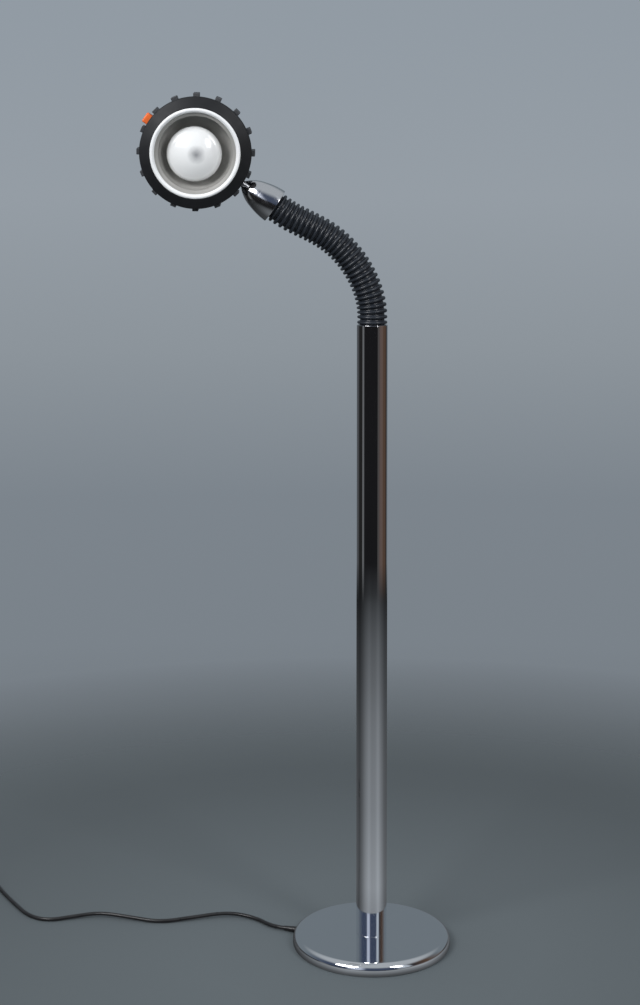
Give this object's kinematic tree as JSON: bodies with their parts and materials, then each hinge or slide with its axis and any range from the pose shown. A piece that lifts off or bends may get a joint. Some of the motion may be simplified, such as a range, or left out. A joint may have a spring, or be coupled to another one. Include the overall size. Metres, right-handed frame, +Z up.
{
  "type": "gooseneck reading floor lamp",
  "caption": "Floor reading lamp: weighted disc base, straight tube, ribbed flexible neck, slotted swivel bell and round spotlight head with push switch.",
  "frame": {"origin": "middle of the base on the floor", "axes": "+Z up along the post; the head leans to -X and shines to -Y"},
  "size_m": [0.8106, 0.3869, 1.254],
  "materials": {
    "mirror_chrome": "polished",
    "pad_rubber": "matte",
    "iron": "matte",
    "plated_steel": "satin",
    "link_alloy": "satin",
    "sleeve_rubber": "gloss",
    "black_lead": "gloss",
    "head_lead": "satin",
    "pins": "satin",
    "black_plastic": "gloss",
    "dark_nylon": "matte",
    "ball_steel": "satin",
    "reflector": "satin",
    "opal_glass": "gloss",
    "cap_metal": "satin",
    "contact_brass": "satin",
    "holder_ceramic": "satin",
    "orange_button": "gloss"
  },
  "bodies": {
    "base": {"base_pad": "pad_rubber", "base_weight": "iron", "base_cover": "mirror_chrome", "base_bolt": "plated_steel", "base_washer": "plated_steel", "lead_gland": "black_lead", "post_foot_plug": "plated_steel", "post_tube": "mirror_chrome", "post_top_bush": "dark_nylon", "mains_lead_inner": "black_lead", "mains_lead_run": "black_lead", "mains_lead_coil": "black_lead", "plug_body": "black_lead", "plug_pins": "pins"},
    "swivel": {"neck_lower_ferrule": "plated_steel", "neck_sleeve_01": "sleeve_rubber", "swivel_circlip": "plated_steel"},
    "segment_02": {"neck_link_02": "link_alloy", "neck_sleeve_02": "sleeve_rubber"},
    "segment_03": {"neck_link_03": "link_alloy", "neck_sleeve_03": "sleeve_rubber"},
    "segment_04": {"neck_link_04": "link_alloy", "neck_sleeve_04": "sleeve_rubber"},
    "segment_05": {"neck_link_05": "link_alloy", "neck_sleeve_05": "sleeve_rubber"},
    "segment_06": {"neck_link_06": "link_alloy", "neck_sleeve_06": "sleeve_rubber"},
    "segment_07": {"neck_link_07": "link_alloy", "neck_sleeve_07": "sleeve_rubber"},
    "segment_08": {"neck_link_08": "link_alloy", "neck_sleeve_08": "sleeve_rubber"},
    "segment_09": {"neck_link_09": "link_alloy", "neck_sleeve_09": "sleeve_rubber"},
    "segment_10": {"neck_upper_ferrule": "plated_steel", "neck_sleeve_10": "sleeve_rubber", "bell_circlip": "plated_steel"},
    "bell": {"swivel_bell": "mirror_chrome", "bell_back_plate": "plated_steel", "swivel_springs": "plated_steel", "swivel_seat": "dark_nylon"},
    "ball": {"swivel_ball": "ball_steel"},
    "head": {"head_stem": "plated_steel", "stem_nuts": "plated_steel", "head_housing": "black_plastic", "front_ring": "black_plastic", "reflector": "reflector", "bulb_glass": "opal_glass", "bulb_cap": "cap_metal", "bulb_contact": "contact_brass", "lampholder_body": "holder_ceramic", "lampholder_shell": "cap_metal", "lampholder_contact": "contact_brass", "lampholder_bracket": "plated_steel", "bracket_screws": "plated_steel", "rear_cap": "black_plastic", "rear_cap_screws": "plated_steel", "switch_body": "dark_nylon", "switch_spring": "plated_steel", "head_lead": "head_lead"},
    "button": {"switch_button": "orange_button"}
  },
  "joints": [
    {"name": "neck_swivel", "type": "hinge", "parent": "base", "child": "swivel", "pos_m": [0, 0, 0.918], "axis": [0, 0, 1], "range_deg": [-170, 170]},
    {"name": "neck_bend_low", "type": "hinge", "parent": "swivel", "child": "segment_02", "pos_m": [0, 0, 0.9418], "axis": [0.0986, -0.9951, 0], "range_deg": [-26, 2]},
    {"name": "neck_bend_2", "type": "hinge", "parent": "segment_02", "child": "segment_03", "pos_m": [-0.00492, -0.00049, 0.96508], "axis": [0.0986, -0.9951, 0], "range_deg": [-23.94, 1.86]},
    {"name": "neck_bend_3", "type": "hinge", "parent": "segment_03", "child": "segment_04", "pos_m": [-0.0138, -0.00137, 0.98715], "axis": [0.0986, -0.9951, 0], "range_deg": [-22.38, 1.74]},
    {"name": "neck_bend_4", "type": "hinge", "parent": "segment_04", "child": "segment_05", "pos_m": [-0.02582, -0.00256, 1.00765], "axis": [0.0986, -0.9951, 0], "range_deg": [-21.86, 1.7]},
    {"name": "neck_bend_high", "type": "hinge", "parent": "segment_05", "child": "segment_06", "pos_m": [-0.04056, -0.00402, 1.02628], "axis": [0.0986, -0.9951, 0], "range_deg": [-23, 4.5]},
    {"name": "neck_bend_6", "type": "hinge", "parent": "segment_06", "child": "segment_07", "pos_m": [-0.05802, -0.00575, 1.04236], "axis": [0.0986, -0.9951, 0], "range_deg": [-23.02, 4.52]},
    {"name": "neck_bend_7", "type": "hinge", "parent": "segment_07", "child": "segment_08", "pos_m": [-0.07788, -0.00772, 1.05532], "axis": [0.0986, -0.9951, 0], "range_deg": [-20.95, 4.11]},
    {"name": "neck_bend_8", "type": "hinge", "parent": "segment_08", "child": "segment_09", "pos_m": [-0.09917, -0.00983, 1.06575], "axis": [0.0986, -0.9951, 0], "range_deg": [-13.36, 2.63]},
    {"name": "neck_bend_9", "type": "hinge", "parent": "segment_09", "child": "segment_10", "pos_m": [-0.12037, -0.01193, 1.07637], "axis": [0.0986, -0.9951, 0], "range_deg": [-3.93, 0.79]},
    {"name": "bell_turn", "type": "hinge", "parent": "segment_10", "child": "bell", "pos_m": [-0.14112, -0.01399, 1.0907], "axis": [-0.8201, -0.0813, 0.5664], "range_deg": [-170, 170]},
    {"name": "head_tilt", "type": "hinge", "parent": "bell", "child": "ball", "pos_m": [-0.16449, -0.0163, 1.10685], "axis": [0.477, 0.4496, 0.7552], "range_deg": [0, 43.5]},
    {"name": "head_roll", "type": "hinge", "parent": "ball", "child": "head", "pos_m": [-0.16449, -0.0163, 1.10685], "axis": [-0.8201, -0.0813, 0.5664], "range_deg": [-170, 170]},
    {"name": "switch_press", "type": "slide", "parent": "head", "child": "button", "axis": [0.8201, 0.0813, -0.5664], "range_m": [0, 0.0025], "stiffness_N_per_m": 600, "springref_m": -0.001, "deforming": ["switch_spring"]}
  ],
  "couplings": [
    {"joint": "neck_bend_2", "follows": "neck_bend_low", "ratio": 0.92},
    {"joint": "neck_bend_3", "follows": "neck_bend_low", "ratio": 0.86},
    {"joint": "neck_bend_4", "follows": "neck_bend_low", "ratio": 0.84},
    {"joint": "neck_bend_6", "follows": "neck_bend_high", "ratio": 1},
    {"joint": "neck_bend_7", "follows": "neck_bend_high", "ratio": 0.91},
    {"joint": "neck_bend_8", "follows": "neck_bend_high", "ratio": 0.58},
    {"joint": "neck_bend_9", "follows": "neck_bend_high", "ratio": 0.17}
  ]
}
